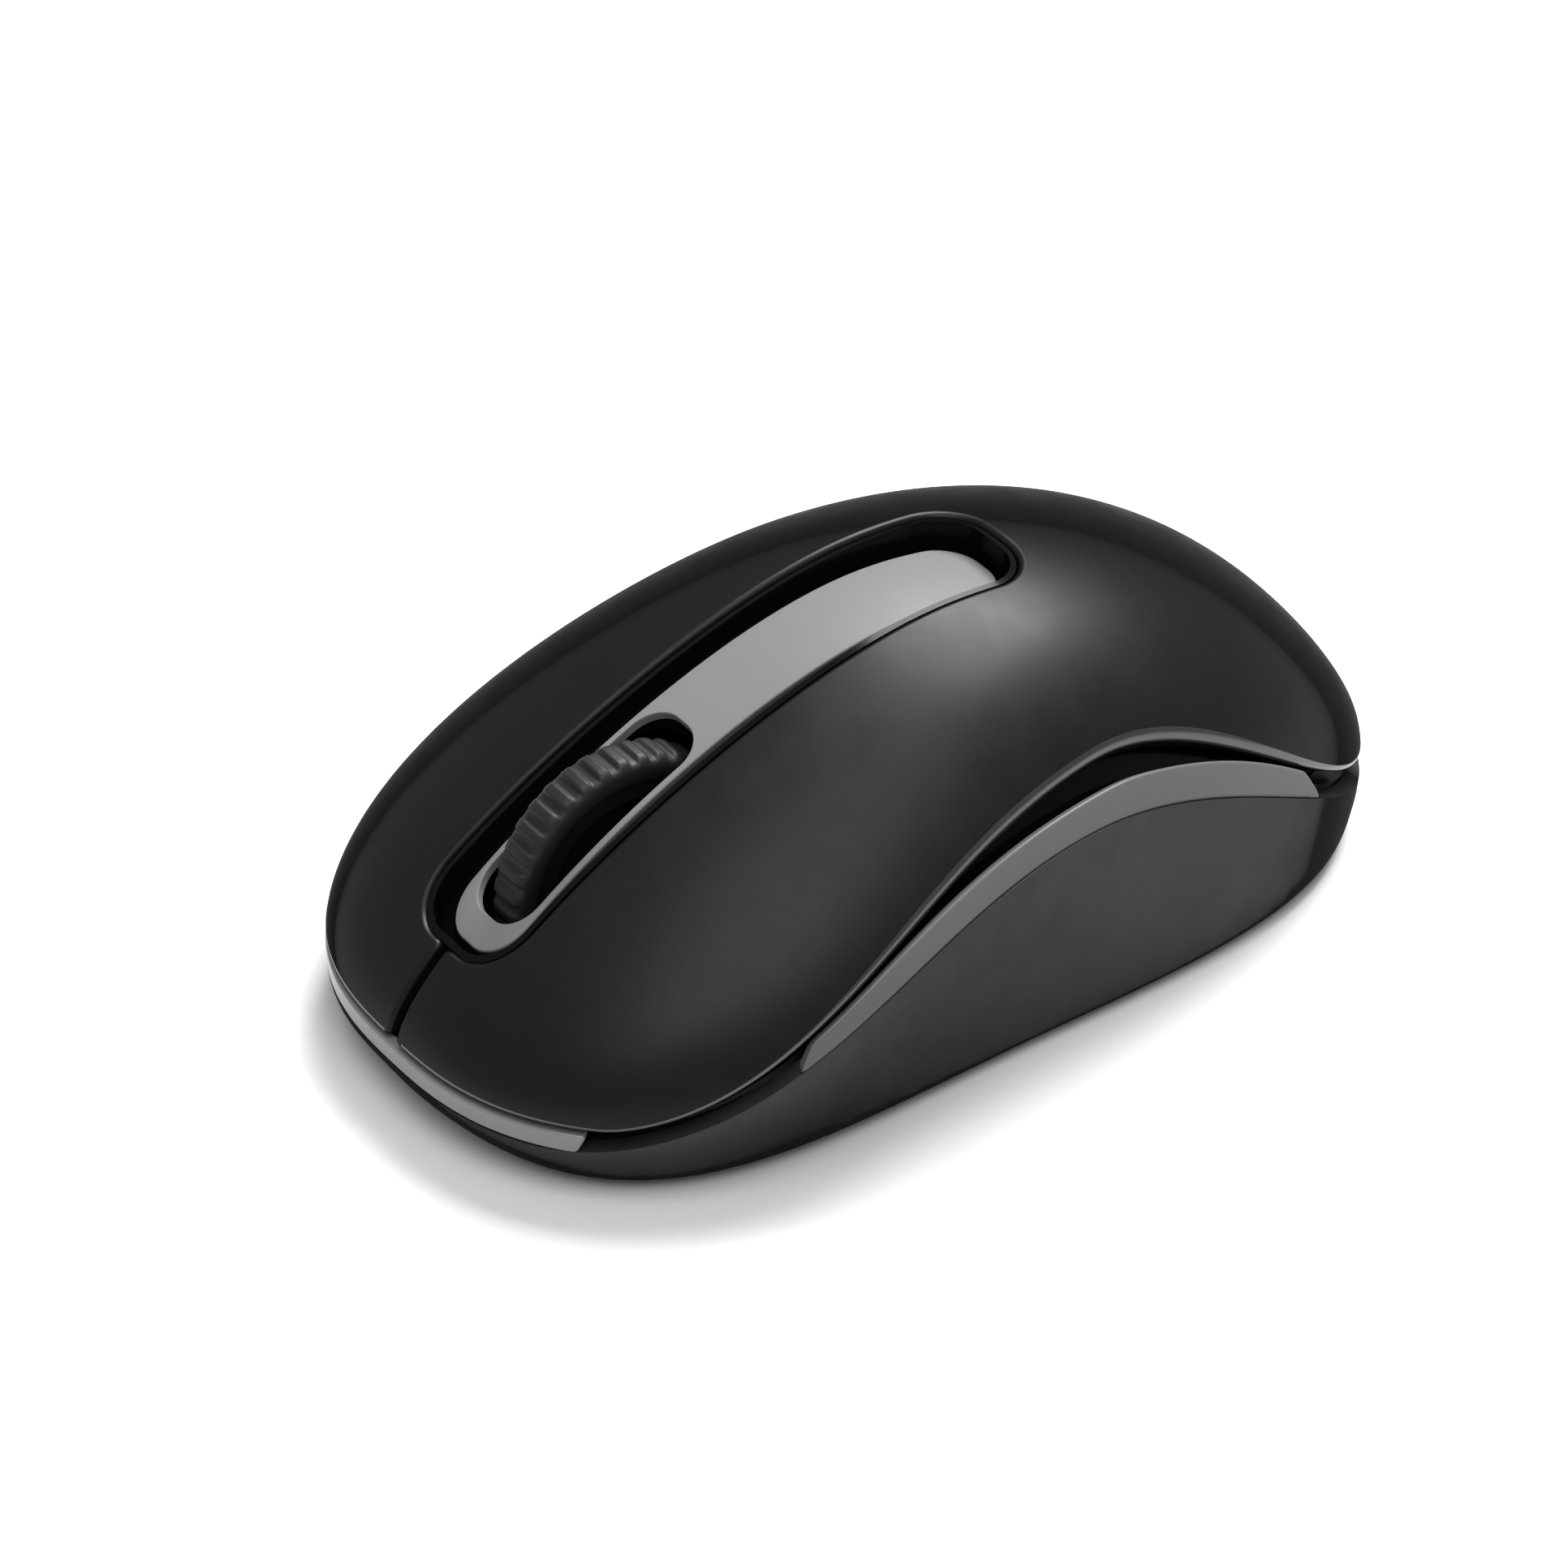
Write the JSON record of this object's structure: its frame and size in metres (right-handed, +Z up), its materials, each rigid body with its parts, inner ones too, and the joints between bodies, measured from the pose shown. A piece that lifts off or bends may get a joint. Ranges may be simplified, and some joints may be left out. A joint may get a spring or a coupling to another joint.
{
  "type": "computer mouse",
  "caption": "Compact wireless optical mouse: domed cover split into two keys, ribbed scroll wheel in a central channel, scalloped sides over a waisted base.",
  "frame": {"origin": "middle of the bounding box's bottom, in the plane that the glide feet rest on", "axes": "-Y towards the nose and the cable-free front edge, +X to the user's left, +Z up; the longest side is along Y"},
  "size_m": [0.056, 0.096, 0.0337],
  "materials": {
    "cover_black": "satin soft-touch black",
    "base_charcoal": "fine matte charcoal",
    "gloss_black": "polished black",
    "inlay_grey": "smooth light grey",
    "trim_grey": "satin mid grey",
    "nose_grey": "gloss grey",
    "tyre_rubber": "moulded rubber",
    "hub_plastic": "moulded black",
    "glide_foot": "waxy low-friction plastic",
    "board_green": "solder-resist green",
    "part_black": "moulded component body",
    "plunger_red": "moulded red",
    "encoder_plastic": "moulded blue",
    "lens_clear": "clear moulded lens",
    "lamp_red": "red lamp body",
    "bright_metal": "plated steel",
    "cell_wrap": "plain printed sleeve with no lettering",
    "tray_black": "moulded black",
    "label_grey": "blank matt label",
    "screw_steel": "zinc-plated steel"
  },
  "bodies": {
    "housing": {"bottom_shell": "base_charcoal", "mid_frame": "gloss_black", "centre_bezel": "gloss_black", "centre_inlay": "inlay_grey", "side_trim_left": "trim_grey", "side_trim_right": "trim_grey", "front_trim": "nose_grey", "top_shell": "cover_black", "front_foot": "glide_foot", "rear_foot": "glide_foot", "blank_label": "label_grey", "battery_tray": "tray_black", "cell_left": "cell_wrap", "cell_right": "cell_wrap", "front_contacts": "bright_metal", "rear_contacts": "bright_metal", "main_board": "board_green", "left_switch": "part_black", "right_switch": "part_black", "middle_switch": "part_black", "encoder_housing": "encoder_plastic", "sensor_chip": "part_black", "sensor_lens": "lens_clear", "sensor_lamp": "lamp_red", "radio_chip": "part_black", "crystal_can": "bright_metal", "capacitor": "bright_metal", "power_switch": "part_black", "pivot_post": "hub_plastic", "case_screws": "screw_steel", "board_screws": "screw_steel"},
    "left_key": {"left_button": "cover_black"},
    "right_key": {"right_button": "cover_black"},
    "left_plunger": {"left_plunger": "plunger_red"},
    "right_plunger": {"right_plunger": "plunger_red"},
    "middle_plunger": {"middle_plunger": "plunger_red"},
    "wheel_carrier": {"wheel_carrier": "hub_plastic"},
    "wheel": {"wheel_hub": "hub_plastic", "wheel_tyre": "tyre_rubber"},
    "encoder_rotor": {"encoder_rotor": "part_black"},
    "power_knob": {"power_knob": "hub_plastic"},
    "battery_door": {"battery_door": "base_charcoal"},
    "receiver": {"receiver_cap": "hub_plastic", "receiver_plug": "bright_metal"}
  },
  "joints": [
    {"name": "left_button_press", "type": "hinge", "parent": "housing", "child": "left_key", "pos_m": [0.0155, 0.008, 0.03], "axis": [1, 0, 0], "range_deg": [0, 0.45], "stiffness_Nm_per_rad": 2.6, "springref_deg": -0.11},
    {"name": "left_plunger_press", "type": "slide", "parent": "housing", "child": "left_plunger", "axis": [0, 0, -1], "range_m": [0, 0.00045]},
    {"name": "right_button_press", "type": "hinge", "parent": "housing", "child": "right_key", "pos_m": [-0.0155, 0.008, 0.03], "axis": [1, 0, 0], "range_deg": [0, 0.45], "stiffness_Nm_per_rad": 2.6, "springref_deg": -0.11},
    {"name": "right_plunger_press", "type": "slide", "parent": "housing", "child": "right_plunger", "axis": [0, 0, -1], "range_m": [0, 0.00045]},
    {"name": "wheel_click", "type": "hinge", "parent": "housing", "child": "wheel_carrier", "pos_m": [0.0082, -0.0252, 0.0096], "axis": [0, -1, 0], "range_deg": [0, 1.6], "stiffness_Nm_per_rad": 0.25, "springref_deg": -0.57},
    {"name": "wheel_spin", "type": "hinge", "parent": "wheel_carrier", "child": "wheel", "pos_m": [0, -0.0252, 0.0155], "axis": [1, 0, 0], "continuous": true},
    {"name": "encoder_spin", "type": "hinge", "parent": "housing", "child": "encoder_rotor", "pos_m": [0.0094, -0.0252, 0.0155], "axis": [1, 0, 0], "continuous": true},
    {"name": "middle_plunger_press", "type": "slide", "parent": "housing", "child": "middle_plunger", "axis": [0, 0, -1], "range_m": [0, 0.00065]},
    {"name": "power_slide", "type": "slide", "parent": "housing", "child": "power_knob", "axis": [0, 1, 0], "range_m": [0, 0.003]},
    {"name": "battery_door_swing", "type": "hinge", "parent": "housing", "child": "battery_door", "pos_m": [0, -0.0049, 0.0006], "axis": [-1, 0, 0], "range_deg": [0, 50]},
    {"name": "receiver_pull", "type": "slide", "parent": "housing", "child": "receiver", "axis": [0, 0, -1], "range_m": [0, 0.012]}
  ],
  "couplings": [
    {"joint": "left_plunger_press", "follows": "left_button_press", "m_per_rad": 0.0375},
    {"joint": "right_plunger_press", "follows": "right_button_press", "m_per_rad": 0.0375},
    {"joint": "middle_plunger_press", "follows": "wheel_click", "m_per_rad": 0.0168},
    {"joint": "encoder_spin", "follows": "wheel_spin", "ratio": 1}
  ]
}
